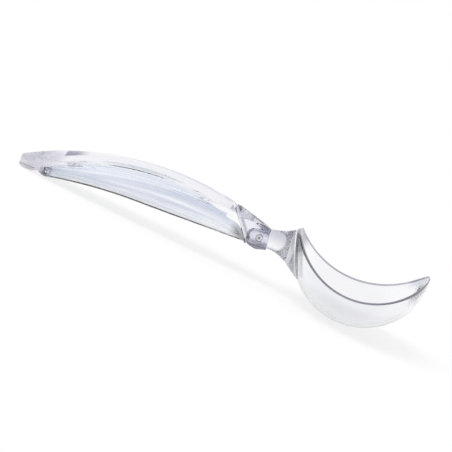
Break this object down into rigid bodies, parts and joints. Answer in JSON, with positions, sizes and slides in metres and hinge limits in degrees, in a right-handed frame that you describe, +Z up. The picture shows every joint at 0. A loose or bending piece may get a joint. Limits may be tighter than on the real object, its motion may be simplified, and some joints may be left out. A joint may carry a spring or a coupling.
{
  "type": "ice cream scoop",
  "caption": "One-hand ice cream scoop of clear plastic: round cup with a saddle-shaped rim and thin front lip, flared neck, and an arched hollow grip.",
  "frame": {"origin": "centre of the bounding box at the level of the table that the scoop lies on", "axes": "+X from the grip's tail to the bowl's front lip, +Z up, +Y to the left seen from the tail"},
  "size_m": [0.1822, 0.0542, 0.0349],
  "materials": {
    "clear_bowl": "clear, polished, faintly lavender",
    "clear_stem": "clear, polished, faintly lavender",
    "clear_pin": "clear, polished ends",
    "clear_nose": "clear, polished, lavender where it is thick",
    "clear_crown": "clear, polished, faintly lavender",
    "clear_hull": "clear, polished, faintly bluish"
  },
  "bodies": {
    "root": {"bowl": "clear_bowl", "stem": "clear_stem", "cross_pin": "clear_pin", "nose": "clear_nose", "grip_crown": "clear_crown", "grip_hull": "clear_hull"}
  },
  "joints": []
}
